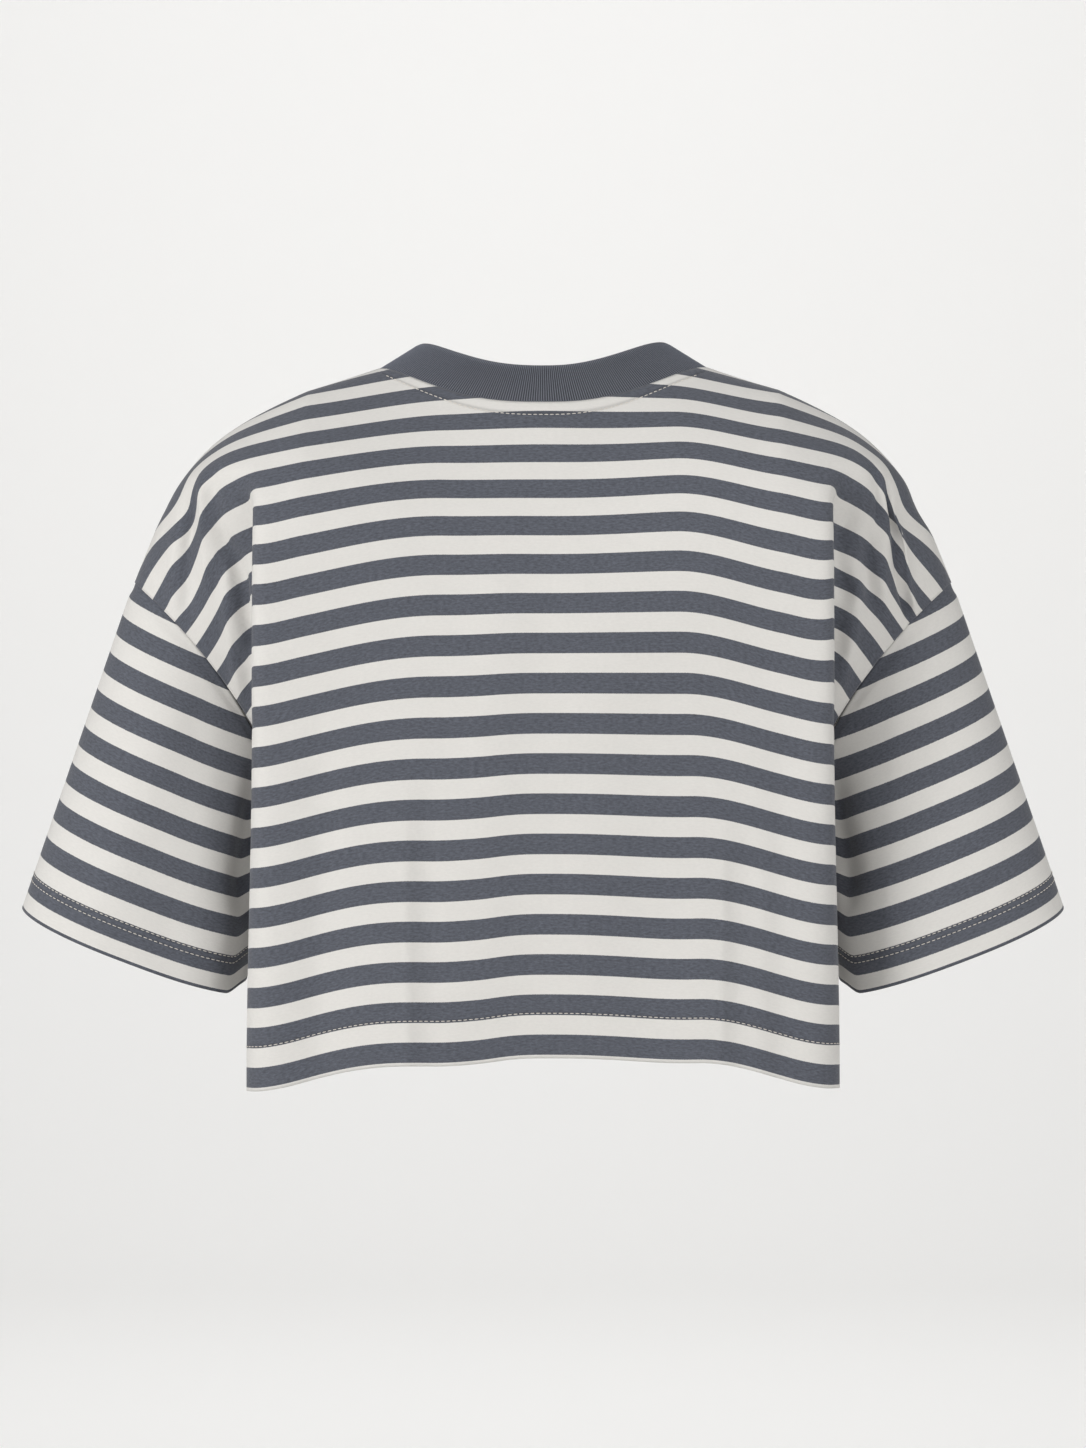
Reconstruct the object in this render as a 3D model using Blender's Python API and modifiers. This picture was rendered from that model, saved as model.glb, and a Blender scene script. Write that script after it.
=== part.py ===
"""Boxy cropped T-shirt in its worn, hollow form: two panels, two sleeves and a rib neckband.

Metres, +Z up. The back faces -Y and the front faces +Y. The origin is the centre of the neck
base, level with the points where the shoulder seams meet the neck. A point of cloth is named by
its place on the flat pattern: p is its distance from the centre line and q its distance below
the shoulder-neck point. "side" is -1 for the wearer's left (-X) and +1 for the right (+X).
"""
import bmesh
import bpy
import numpy as np
from math import pi

# ---- flat pattern -----------------------------------------------------------------------------
WALL = 0.0016                 # cloth wall
HALF_CHEST = 0.300            # centre line to side seam
SHOULDER_REACH = 0.325        # centre line to the end of the dropped shoulder
NECK_HALF = 0.100             # centre line to shoulder-neck point
BODY_LENGTH = 0.4685          # shoulder-neck point to hem, along the cloth
BACK_NECK = (0.046, 2.4, 1.0)     # drop of the neck curve and how square it is
FRONT_NECK = (0.102, 2.6, 0.50)
SHOULDER_TOP = -0.006         # the shoulder seam at the neck, just forward of the ridge
SHOULDER_SLOPE = 0.235        # fall of the shoulder seam for each unit of reach
SEAM_TOP = 0.057              # where the armhole starts, at the tip of the shoulder
UNDERARM = 0.240              # where the armhole ends, at the top of the side seam
BAND_HEIGHT = 0.028
BAND_WALL = 0.0022
BAND_SEAT = 0.0024            # the band starts this far above the neck edge
SHOULDER_CLEARANCE = 0.0010   # each panel stops this far short of the shoulder seam
SIDE_CLEARANCE = 0.0008       # and this far short of the side seam
EDGE = 1e-6

# ---- worn form --------------------------------------------------------------------------------
BODY_HALF_WIDTH = 0.1825      # at the underarm
HEM_FLARE = 0.004             # what the hem adds to it
FRONT_LEAN_MIDDLE = 46        # degrees back from upright, at the front of the neck
FRONT_LEAN_SIDE = 60
FRONT_LEAN_RUN = 0.280        # how far down the chest it leans
BACK_DEPTH = 0.123            # from the centre plane to the flat of the back
FRONT_DEPTH = 0.108
SIDE_Y = -0.006               # where the side seam hangs
SIDE_X = 0.170
HEM_Z = -0.4400               # centre back
ARM_TIP = (0.264, -0.010, -0.139)
ARM_PIT = (0.170, -0.006, -0.262)
ARM_DEPTH = 0.044             # half the depth of the armhole ring
ARM_BOW = 0.009               # how far the armhole seam bows up towards the body
HEM_RING_OUTER = (0.335, -0.012, -0.347)
HEM_RING_HALF = 0.077
HEM_RING_DEPTH = 0.053
HEM_RING_TILT = 0.36          # radians below level, going inwards
HEM_RING_LIFT = 0.007         # the underarm seam draws the inner end up
HEM_RING_ROLL = 0.008         # its back hangs this much below its middle, its front above
SLEEVE_PULL = 0.0021          # the sleeve starts this far below the armhole ring
BAND_RISE_MIDDLE = 52         # degrees above level at the centre back and front
BAND_RISE_SIDE = 29           # and at the shoulders

# How far the hem's ends hang below its middle: side, drop, share of it left at the shoulder
# blades, where it starts across, how wide, and how much lower the neck hangs at the shoulder
SIDE_DROPS = (
    (-1, 0.0270, 0.72, 0.076, 0.134, -0.0014),
    (+1, 0.0195, 0.71, 0.096, 0.086, +0.0010),
)
# Largest folds of the torso: soft ridges that run down to the hem. side, place across, first q,
# half width, how far it stands out, where it hangs lower and how much, at the hem and above it
RIDGES = (
    (-1, 0.086, 0.17, 0.040, 0.0065, 0.069, 0.0050, 0.0004),
    (+1, 0.111, 0.26, 0.036, 0.0060, 0.086, 0.0030, -0.0020),
)
# Folds of the dropped shoulder: side, top p and q, low p and q, half width, and how far it steps
# in, from a ridge on the body's side to a valley outside it
SHOULDER_FOLDS = (
    (-1, 0.226, 0.066, 0.268, 0.114, 0.0060, 0.0026),
    (-1, 0.260, 0.054, 0.302, 0.100, 0.0065, 0.0022),
    (-1, 0.246, 0.112, 0.284, 0.178, 0.0065, 0.0028),
    (+1, 0.230, 0.064, 0.276, 0.130, 0.0055, 0.0028),
    (+1, 0.246, 0.056, 0.308, 0.108, 0.0060, 0.0036),
    (+1, 0.250, 0.134, 0.276, 0.192, 0.0065, 0.0028),
)
# How the back's rows slip on the dropped shoulders: side, slip along q, centre p and q, half width
# across and down
SHOULDER_SLIPS = (
    (-1, +0.0245, 0.259, 0.042, 0.037, 0.036),
    (-1, -0.0125, 0.250, 0.123, 0.038, 0.045),
    (+1, +0.0315, 0.257, 0.041, 0.042, 0.033),
    (+1, -0.0085, 0.260, 0.131, 0.047, 0.062),
    (+1, -0.0160, 0.297, 0.154, 0.073, 0.067),
    (+1, +0.0095, 0.298, 0.082, 0.032, 0.026),
)
# Cloth mesh: how many cells across the half neck, from there to the side, down a panel, round a
# sleeve and along it
NECK_COLUMNS = 9
SIDE_COLUMNS = 12
PANEL_ROWS = 16
SLEEVE_ROUND = 36
SLEEVE_ROWS = 10
BAND_ROWS = 3

# name: (colour, roughness)
FINISHES = {
    "back_panel": ((0.62, 0.61, 0.60), 0.85),
    "front_panel": ((0.58, 0.57, 0.56), 0.85),
    "sleeve_left": ((0.50, 0.50, 0.52), 0.85),
    "sleeve_right": ((0.50, 0.50, 0.52), 0.85),
    "neckband": ((0.12, 0.125, 0.155), 0.90),
}


def ease(t):
    """0 below 0, 1 above 1, smooth between."""
    t = np.clip(t, 0.0, 1.0)
    return t * t * (3 - 2 * t)


def hump(offset, half_width):
    """A soft bump of height 1 at offset 0."""
    return np.exp(-(offset / half_width) ** 2)


def fold_step(p, q, top, low, half_width):
    """A ridge and a valley beside the pattern line from top to low, soft at the line's ends."""
    run = np.subtract(low, top)
    length = np.hypot(*run)
    share = ((p - top[0]) * run[0] + (q - top[1]) * run[1]) / length ** 2
    off = ((p - top[0]) * run[1] - (q - top[1]) * run[0]) / length / half_width
    return -off * np.exp((1 - off ** 2) / 2) * ease((share + 0.25) / 0.40) * ease((1.25 - share) / 0.40)


def bezier(a, b, c, d, t):
    """Points at t on a cubic curve; a, b, c and d are (..., 3), t is (n,)."""
    t = t[:, None]
    return a * (1 - t) ** 3 + 3 * b * t * (1 - t) ** 2 + 3 * c * t * t * (1 - t) + d * t ** 3


def along(points, share):
    """Points at the given shares of a polyline's length."""
    steps = np.linalg.norm(np.diff(points, axis=0), axis=1)
    run = np.concatenate(([0.0], np.cumsum(steps)))
    return np.stack([np.interp(share * run[-1], run, points[:, i]) for i in range(3)], axis=1)


# ---- the armhole and the sleeve's rings ---------------------------------------------------------
def armhole_point(angle, side):
    """A point of the armhole ring: 0 is the shoulder tip, pi/2 the back, pi the underarm."""
    tip = np.array(ARM_TIP)
    pit = np.array(ARM_PIT)
    centre = (tip + pit) / 2
    half = (tip - pit) / 2
    inward = np.array([-half[2], 0.0, half[0]]) / np.hypot(half[0], half[2])
    angle = np.asarray(angle)[..., None]
    ring = centre + half * np.cos(angle) + inward * ARM_BOW * np.sin(angle) ** 2
    ring = ring - np.array([0.0, ARM_DEPTH, 0.0]) * np.sin(angle)
    return ring * np.array([side, 1, 1])


def armhole_angle(q):
    """The cloth crosses the armhole ring evenly from its tip to the underarm."""
    share = np.clip((q - SEAM_TOP) / (UNDERARM - SEAM_TOP), 0.0, 1.0)
    return np.arccos(1 - 2 * share)


def sleeve_hem_point(angle, side):
    """A point of the sleeve's hem ring, with the same angles as the armhole ring."""
    outer = np.array(HEM_RING_OUTER)
    across = np.array([-np.cos(HEM_RING_TILT), 0.0, -np.sin(HEM_RING_TILT)])
    angle = np.asarray(angle)[..., None]
    cosine = np.cos(angle)
    sine = np.sin(angle)
    ring = outer + across * HEM_RING_HALF * (1 - np.sign(cosine) * np.abs(cosine) ** 0.82)
    ring = ring - np.array([0.0, HEM_RING_DEPTH, 0.0]) * np.sign(sine) * np.abs(sine) ** 0.8
    ring = ring + np.array([0.0, 0.0, HEM_RING_LIFT]) * ease((-cosine - 0.80) / 0.20)
    ring = ring - np.array([0.0, 0.0, HEM_RING_ROLL]) * sine
    return ring * np.array([side, 1, 1])


# ---- torso -------------------------------------------------------------------------------------
def torso_lean(x, q, face):
    """How far the cloth leans back from upright, in radians; it lies flat at the shoulder."""
    reach = ease(x / 0.175)
    steep = np.radians(34 + 30 * reach)
    run = 0.270 - 0.115 * reach
    if face > 0:
        steep = np.radians(FRONT_LEAN_MIDDLE + (FRONT_LEAN_SIDE - FRONT_LEAN_MIDDLE) * reach)
        run = FRONT_LEAN_RUN + 0.030 * reach
    lean = steep * (1 - ease(q / run))
    ridge = 0.10 * ease((x - 0.10) / 0.25)
    return lean + np.radians(30) * (1 - ease((q - ridge + 0.014) / 0.030)) * ease(x / 0.125)


def cloth_dip(x, q, side):
    """How far a row of the cloth hangs below its centre line at x."""
    low = ease((q - 0.10) / 0.30)
    dip = np.zeros_like(x + q)
    for drop_side, drop, top_share, start, width, neck_drop in SIDE_DROPS:
        if drop_side == side:
            share = (top_share + (1 - top_share) * low) * (0.55 + 0.45 * ease(q / 0.055))
            dip = dip + drop * share * ease((x - start + 0.014 * (1 - low)) / width)
            dip = dip + neck_drop * hump(x - 0.100, 0.035) * (1 - ease(q / 0.060))
    for fold_side, _, _, width, _, place, low_drop, high_drop in RIDGES:
        if fold_side == side:
            lower = high_drop + (low_drop - high_drop) * low
            dip = dip + lower * hump(x - place, 1.15 * width) * ease(x / 0.040)
    return dip


def ridge_height(x, q, side):
    """How far the torso's soft ridges stand out, with a shallow trough outside each."""
    height = np.zeros_like(x + q)
    for fold_side, place, start, width, tall, _, _, _ in RIDGES:
        if fold_side == side:
            grow = ease((q - start) / (BODY_LENGTH - start))
            height = height + tall * grow * hump(x - place, width)
            height = height - 0.6 * tall * grow * hump(x - place - 1.5 * width, 0.8 * width)
    return height


def torso_profile(x, q, side, face):
    """The torso's y and z for the columns x at the evenly spaced heights q, from the hem up."""
    step = q[1] - q[0]
    lean = torso_lean(x[None, :], q[:, None], face)
    rise = np.cumsum(np.cos(lean)[::-1], axis=0)[::-1] * step
    inset = np.cumsum(np.sin(lean)[::-1], axis=0)[::-1] * step
    depth = BACK_DEPTH if face < 0 else FRONT_DEPTH
    z = HEM_Z + rise - cloth_dip(x[None, :], q[:, None], side)
    y = face * (depth - 0.004 * ease(x / 0.15) - inset + ridge_height(x[None, :], q[:, None], side))
    return y, z


def shoulder_shift(x, q, side, y, z):
    """What moves the front's columns so that they meet the back's on the shoulder seam."""
    back_y, back_z = torso_profile(x, q, side, -1)
    seam = panel_top(x, -1)
    first = int(np.searchsorted(x, NECK_HALF))
    shift = np.zeros((len(x), 2))
    for i in range(first, len(x)):
        shift[i, 0] = np.interp(seam[i], q, back_y[:, i]) - np.interp(seam[i], q, y[:, i])
        shift[i, 1] = np.interp(seam[i], q, back_z[:, i]) - np.interp(seam[i], q, z[:, i])
    shift[:first] = shift[first]
    return shift


def torso_sheet(q, side, face):
    """The torso's points for x from 0 to 0.15 (columns) at the heights q (rows)."""
    x = np.linspace(0.0, 0.150, 31)
    fine = np.arange(-0.016, BODY_LENGTH + 0.0005, 0.002)
    y, z = torso_profile(x, fine, side, face)
    if face > 0:
        shift = shoulder_shift(x, fine, side, y, z)
        y = y + shift[None, :, 0]
        z = z + shift[None, :, 1] * (1 - ease(fine / BODY_LENGTH))[:, None]
    sheet = np.zeros((len(q), len(x), 3))
    sheet[:, :, 0] = x
    for column in range(len(x)):
        sheet[:, column, 1] = np.interp(q, fine, y[:, column])
        sheet[:, column, 2] = np.interp(q, fine, z[:, column])
    return sheet


def side_point(q):
    """The side seam, from the underarm to the hem, on the +X side."""
    drop = np.clip((q - UNDERARM) / (BODY_LENGTH - UNDERARM), 0.0, 1.0)
    x = SIDE_X - 0.004 * np.sin(pi * drop) + 0.006 * drop
    z = ARM_PIT[2] + (HEM_Z - 0.0235 - ARM_PIT[2]) * drop
    return np.array([x, SIDE_Y, z])


def row_end(q, face):
    """Where the row at q ends: over the shoulder, on the armhole or on the side seam."""
    if q >= UNDERARM:
        return side_point(q)
    if q >= SEAM_TOP:
        return armhole_point(-face * armhole_angle(q), 1)
    return np.array(ARM_TIP) - np.array([0.0, face * (SEAM_TOP - q), 0.0])


def shoulder_row(start, end, q):
    """A row that lies over the shoulder: one smooth bend from the torso to the armhole."""
    fall = 0.034 - 0.018 * ease(q / 0.060)
    first = start + np.array([0.080, 0.0, -fall]) + 0.12 * (end - start) * np.array([0, 1, 0])
    last = end + np.array([-0.034, 0.0, 0.078]) - 0.35 * (end - start) * np.array([0, 1, 0])
    return bezier(start, first, last, end, np.linspace(0, 1, 60))


def pleat_row(start, end, q, face, slope):
    """A row that turns at the body's edge, runs back into the armpit pleat and out again."""
    edge_x = BODY_HALF_WIDTH + HEM_FLARE * ease((q - 0.24) / 0.22)
    corner = 0.010 + 0.012 * ease((q - 0.20) / 0.25)
    deep = ease((q - 0.070) / 0.170)
    full = ease((q - UNDERARM + 0.05) / 0.05)
    y = start[1]
    turn = np.linspace(0, pi / 2, 9)
    bend_x = edge_x - corner + corner * np.sin(turn)
    bend_y = y - face * corner * (1 - np.cos(turn))
    wall_y = bend_y[-1] + (end[1] - bend_y[-1]) * (0.16 + 0.30 * deep + 0.10 * full)
    wall_x = edge_x - 0.011
    mid_y = wall_y + 0.55 * (end[1] - wall_y)
    mid_x = wall_x + 0.50 * (end[0] - wall_x)
    plan = np.array([(start[0], y)] + list(zip(bend_x, bend_y)) + [
        (edge_x - 0.004, (bend_y[-1] + wall_y) / 2), (wall_x, wall_y), (mid_x, mid_y),
        (end[0], end[1])])
    run = np.concatenate(([0.0], np.cumsum(np.linalg.norm(np.diff(plan, axis=0), axis=1))))
    even = np.linspace(0, run[-1], 80)
    x = smooth_track(run, plan[:, 0], even)
    y = smooth_track(run, plan[:, 1], even)
    edge = (edge_x - start[0]) / run[-1]
    fall = start[2] - end[2]
    share = even / run[-1]
    lip = 0.006
    near = np.clip(share / edge, 0, 1)
    lead = slope * (edge_x - start[0]) * near * (1 - near) ** 2
    past = np.clip((share - edge) / (1 - edge), 0, 1)
    z = start[2] + lead - lip * ease(near) - (fall - lip) * past ** 1.12
    return np.stack([x, y, z], axis=1)


def smooth_track(run, values, even):
    """The values over run, resampled at even and rounded where the track turns."""
    track = np.interp(even, run, values)
    for _ in range(6):
        track[1:-1] = (track[:-2] + 2 * track[1:-1] + track[2:]) / 4
    return track


class HalfPanel:
    """Half of the back (face -1) or front (face +1), as a table of its points by share and q."""

    def __init__(self, side, face):
        self.side = side
        self.face = face
        self.q = np.arange(-0.014, BODY_LENGTH + 0.002, 0.0025)
        self.share = np.linspace(0, 1, 241)
        sheet = torso_sheet(self.q, side, face)
        rows = [self.row(sheet[i], q) for i, q in enumerate(self.q)]
        self.table = np.array(rows)
        for _ in range(3):
            self.table[1:-1] = (self.table[:-2] + 2 * self.table[1:-1] + self.table[2:]) / 4
        if face < 0:
            self.table = self.slipped()
        self.table = self.table + self.outward() * self.folds()[:, :, None]

    def slipped(self):
        """The table with its rows drawn along the cloth, as SHOULDER_SLIPS says."""
        q = self.q[:, None]
        p = self.share[None, :] * panel_width(q)
        slip = np.zeros_like(p)
        for side, amount, centre_p, centre_q, across, down in SHOULDER_SLIPS:
            if side == self.side:
                slip = slip + amount * hump(p - centre_p, across) * hump(q - centre_q, down)
        slip = slip * ease((p - 0.175) / 0.035) * ease(q / 0.024) * ease((UNDERARM - q) / 0.030)
        drawn = np.empty_like(self.table)
        for i in range(len(self.share)):
            for axis in range(3):
                drawn[:, i, axis] = np.interp(self.q + slip[:, i], self.q, self.table[:, i, axis])
        return drawn

    def outward(self):
        """The sheet's unit normals, away from the body."""
        across = np.gradient(self.table, axis=1)
        down = np.gradient(self.table, axis=0)
        normal = np.cross(across, down) * -self.face
        return normal / (np.linalg.norm(normal, axis=2)[:, :, None] + 1e-12)

    def folds(self):
        """Heights of the dropped shoulder's folds; they die out just before the armhole seam."""
        q = self.q[:, None]
        p = self.share[None, :] * panel_width(q)
        height = np.zeros_like(p)
        for side, top_p, top_q, low_p, low_q, width, tall in SHOULDER_FOLDS:
            if side == self.side:
                height = height + tall * fold_step(p, q, (top_p, top_q), (low_p, low_q), width)
        return height * ease((1 - self.share[None, :]) / 0.035)

    def row(self, torso, q):
        """One row of cloth, from the torso columns out to where it ends."""
        start = torso[-1]
        end = row_end(q, self.face)
        slope = (torso[-1, 2] - torso[-3, 2]) / (torso[-1, 0] - torso[-3, 0])
        shoulder = along(np.vstack([torso[:-1], shoulder_row(start, end, q)]), self.share)
        pleat = along(np.vstack([torso[:-1], pleat_row(start, end, q, self.face, slope)]), self.share)
        blend = ease((q - 0.068) / 0.040)
        return shoulder * (1 - blend) + pleat * blend

    def at(self, share, q):
        """Points of the worn cloth, on this half's side of the body."""
        u = np.clip(share, 0, 1) * (len(self.share) - 1)
        v = np.clip((q - self.q[0]) / (self.q[1] - self.q[0]), 0, len(self.q) - 1.001)
        i = np.minimum(u.astype(int), len(self.share) - 2)
        j = v.astype(int)
        fu = (u - i)[..., None]
        fv = (v - j)[..., None]
        top = self.table[j, i] * (1 - fu) + self.table[j, i + 1] * fu
        low = self.table[j + 1, i] * (1 - fu) + self.table[j + 1, i + 1] * fu
        return (top * (1 - fv) + low * fv) * np.array([self.side, 1, 1])


def panel_width(q):
    """Half the flat width of a panel at q."""
    share = np.clip((q - SEAM_TOP) / (UNDERARM - SEAM_TOP), 0, 1)
    return SHOULDER_REACH + (HALF_CHEST - SHOULDER_REACH) * share - 0.010 * np.sin(pi * share)


def panel_top(p, face):
    """The panel's upper edge: the neck curve, then the shoulder seam."""
    drop, power, round_power = BACK_NECK if face < 0 else FRONT_NECK
    curve = (1 - np.clip(p / NECK_HALF, 0, 1) ** power) ** round_power
    neck = SHOULDER_TOP + (drop - SHOULDER_TOP) * curve
    return np.where(p < NECK_HALF, neck, SHOULDER_TOP + SHOULDER_SLOPE * (p - NECK_HALF))


def panel_columns(neck_count, side_count):
    """Shares across a half panel, with one column at the shoulder-neck point."""
    neck = NECK_HALF / SHOULDER_REACH
    return np.concatenate([np.linspace(0, neck, neck_count, endpoint=False),
                           np.linspace(neck, 1, side_count + 1)])


def panel_points(face, columns, rows):
    """The whole panel's grid of points, top row first, from the wearer's left to the right."""
    p = columns * SHOULDER_REACH
    top = panel_top(p, face) + np.where(p < NECK_HALF - EDGE, 0.0, SHOULDER_CLEARANCE)
    q = top[None, :] + (BODY_LENGTH - top[None, :]) * rows[:, None]
    share = np.minimum(columns[None, :] + 0 * rows[:, None], 1 - SIDE_CLEARANCE / HALF_CHEST)
    left, right = [HalfPanel(side, face).at(share, q) for side in (-1, +1)]
    return np.concatenate([left[:, :0:-1], right], axis=1)


def match_shoulders(front, back, columns, rows):
    """Bring the front's shoulder edge onto the back's, easing out down the chest."""
    outer = int(np.sum(columns * SHOULDER_REACH >= NECK_HALF - EDGE))
    shift = back[0] - front[0] + np.array([0.0, 2 * SHOULDER_CLEARANCE, 0.0])
    shift[outer:-outer] = 0.0
    keep = 1 - ease(rows / 0.30)
    return front + keep[:, None, None] * shift[None, :, :]


# ---- sleeves and neckband ----------------------------------------------------------------------
def sleeve_points(side, angles, lengths):
    """The sleeve's rings, from the armhole to the hem, each point running straight down."""
    top = armhole_point(angles, side)
    low = sleeve_hem_point(angles, side)
    run = np.linalg.norm(low - top, axis=1)
    pull = SLEEVE_PULL * (1 + 0.8 * (1 - np.cos(angles)) / 2)
    start = (pull / run)[None, :, None]
    share = start + (1 - start) * lengths[:, None, None]
    return top[None] * (1 - share) + low[None] * share


def neck_ring(back, front, columns):
    """The neck seam: the panels' neck edges joined in one closed ring, back first."""
    whole = np.concatenate([-columns[:0:-1], columns]) * SHOULDER_REACH
    inside = np.abs(whole) <= NECK_HALF + EDGE
    back_arc = back[0][inside]
    front_arc = front[0][inside][::-1]
    return np.concatenate([back_arc, front_arc[1:-1]])


def band_points(ring, heights):
    """Rows of the neckband, from the neck seam up; it leans in more at the sides."""
    middle = np.array([0.0, ring[:, 1].mean(), 0.0])
    inward = (middle - ring) * np.array([1, 1, 0])
    inward = inward / np.linalg.norm(inward, axis=1)[:, None]
    sideways = inward[:, 0] ** 4
    lean = np.radians(BAND_RISE_MIDDLE + (BAND_RISE_SIDE - BAND_RISE_MIDDLE) * sideways)
    climb = inward * np.cos(lean)[:, None] + np.array([0, 0, 1]) * np.sin(lean)[:, None]
    seat = ring + climb * BAND_SEAT
    return seat[None] + climb[None] * (BAND_HEIGHT * heights)[:, None, None]


# ---- building ----------------------------------------------------------------------------------
def cloth_material(name):
    colour, roughness = FINISHES[name]
    material = bpy.data.materials.new(name)
    material.use_nodes = True
    shader = material.node_tree.nodes["Principled BSDF"]
    shader.inputs["Base Color"].default_value = (*colour, 1.0)
    shader.inputs["Roughness"].default_value = roughness
    shader.inputs["Metallic"].default_value = 0.0
    return material


def cloth_object(name, points, is_ring, wall, collection):
    """A sheet of cloth lofted through rows of points, made a wall by Solidify."""
    rows, columns = points.shape[:2]
    mesh = bpy.data.meshes.new(name)
    loft = bmesh.new()
    grid = [[loft.verts.new(point) for point in row] for row in points]
    for i in range(rows - 1):
        for j in range(columns if is_ring else columns - 1):
            k = (j + 1) % columns
            loft.faces.new((grid[i][j], grid[i + 1][j], grid[i + 1][k], grid[i][k]))
    loft.to_mesh(mesh)
    loft.free()
    mesh.shade_smooth()
    thing = bpy.data.objects.new(name, mesh)
    collection.objects.link(thing)
    mesh.materials.append(cloth_material(name))
    shell = thing.modifiers.new("cloth wall", "SOLIDIFY")
    shell.thickness = wall
    shell.offset = -1.0
    return thing


def build():
    for thing in list(bpy.data.objects):
        bpy.data.objects.remove(thing, do_unlink=True)
    shirt = bpy.data.collections.new("crop_top")
    bpy.context.scene.collection.children.link(shirt)

    columns = panel_columns(NECK_COLUMNS, SIDE_COLUMNS)
    rows = np.linspace(0, 1, PANEL_ROWS + 1)
    back = panel_points(-1, columns, rows)
    front = match_shoulders(panel_points(+1, columns, rows), back, columns, rows)
    cloth_object("back_panel", back, False, WALL, shirt)
    cloth_object("front_panel", front[:, ::-1], False, WALL, shirt)

    around = np.arange(SLEEVE_ROUND) * 2 * pi / SLEEVE_ROUND
    lengths = np.linspace(0, 1, SLEEVE_ROWS + 1)
    cloth_object("sleeve_left", sleeve_points(-1, around, lengths), True, WALL, shirt)
    cloth_object("sleeve_right", sleeve_points(+1, around[::-1], lengths), True, WALL, shirt)

    band = band_points(neck_ring(back, front, columns), np.linspace(1, 0, BAND_ROWS + 1))
    cloth_object("neckband", band, True, BAND_WALL, shirt)


build()
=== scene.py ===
"""Looks of the boxy cropped T-shirt: striped jersey panels and sleeves, a rib neckband, stitching.

The cloth has the same cut and worn form as the CAD part, lofted much finer. Metres, +Z up; the
back faces -Y. A point of cloth is named by p, its distance from the centre line on the flat
pattern, and q, its distance below the shoulder-neck point. "side" is -1 for the wearer's left
(-X) and +1 for the right (+X); "face" is -1 for the back and +1 for the front.
"""
from math import pi

import bmesh
import bpy
import numpy as np
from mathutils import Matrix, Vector


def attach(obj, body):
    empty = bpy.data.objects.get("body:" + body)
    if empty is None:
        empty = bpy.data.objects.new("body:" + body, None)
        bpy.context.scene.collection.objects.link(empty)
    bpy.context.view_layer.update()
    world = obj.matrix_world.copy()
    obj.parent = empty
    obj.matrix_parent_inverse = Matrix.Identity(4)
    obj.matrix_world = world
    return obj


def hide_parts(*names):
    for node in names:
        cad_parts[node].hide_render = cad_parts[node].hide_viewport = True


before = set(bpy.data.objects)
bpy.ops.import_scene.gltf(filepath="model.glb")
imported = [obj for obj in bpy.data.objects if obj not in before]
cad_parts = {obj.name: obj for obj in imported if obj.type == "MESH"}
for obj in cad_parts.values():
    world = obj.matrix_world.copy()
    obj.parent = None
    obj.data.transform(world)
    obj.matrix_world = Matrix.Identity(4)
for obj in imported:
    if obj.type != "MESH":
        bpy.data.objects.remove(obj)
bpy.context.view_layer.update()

# ---- flat pattern -----------------------------------------------------------------------------
HALF_CHEST = 0.300            # centre line to side seam
SHOULDER_REACH = 0.325        # centre line to the end of the dropped shoulder
NECK_HALF = 0.100             # centre line to shoulder-neck point
BODY_LENGTH = 0.4685          # shoulder-neck point to hem, along the cloth
BACK_NECK = (0.046, 2.4, 1.0)     # drop of the neck curve and how square it is
FRONT_NECK = (0.102, 2.6, 0.50)
SHOULDER_TOP = -0.006         # the shoulder seam at the neck, just forward of the ridge
SHOULDER_SLOPE = 0.235        # fall of the shoulder seam for each unit of reach
SEAM_TOP = 0.057              # where the armhole starts, at the tip of the shoulder
UNDERARM = 0.240              # where the armhole ends, at the top of the side seam
BAND_HEIGHT = 0.028
BAND_SEAT = 0.0024            # the band starts this far above the neck edge
SHOULDER_CLEARANCE = 0.0010   # each panel stops this far short of the shoulder seam
SIDE_CLEARANCE = 0.0008       # and this far short of the side seam
EDGE = 1e-6

# ---- worn form --------------------------------------------------------------------------------
BODY_HALF_WIDTH = 0.1825      # at the underarm
HEM_FLARE = 0.004             # what the hem adds to it
FRONT_LEAN_MIDDLE = 46        # degrees back from upright, at the front of the neck
FRONT_LEAN_SIDE = 60
FRONT_LEAN_RUN = 0.280        # how far down the chest it leans
BACK_DEPTH = 0.123            # from the centre plane to the flat of the back
FRONT_DEPTH = 0.108
SIDE_Y = -0.006               # where the side seam hangs
SIDE_X = 0.170
HEM_Z = -0.4400               # centre back
ARM_TIP = (0.264, -0.010, -0.139)
ARM_PIT = (0.170, -0.006, -0.262)
ARM_DEPTH = 0.044             # half the depth of the armhole ring
ARM_BOW = 0.009               # how far the armhole seam bows up towards the body
HEM_RING_OUTER = (0.335, -0.012, -0.347)
HEM_RING_HALF = 0.077
HEM_RING_DEPTH = 0.053
HEM_RING_TILT = 0.36          # radians below level, going inwards
HEM_RING_LIFT = 0.007         # the underarm seam draws the inner end up
HEM_RING_ROLL = 0.008         # its back hangs this much below its middle, its front above
SLEEVE_PULL = 0.0021          # the sleeve starts this far below the armhole ring
BAND_RISE_MIDDLE = 52         # degrees above level at the centre back and front
BAND_RISE_SIDE = 29           # and at the shoulders

# How far the hem's ends hang below its middle: side, drop, share of it left at the shoulder
# blades, where it starts across, how wide, and how much lower the neck hangs at the shoulder
SIDE_DROPS = (
    (-1, 0.0270, 0.72, 0.076, 0.134, -0.0014),
    (+1, 0.0195, 0.71, 0.096, 0.086, +0.0010),
)
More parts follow.
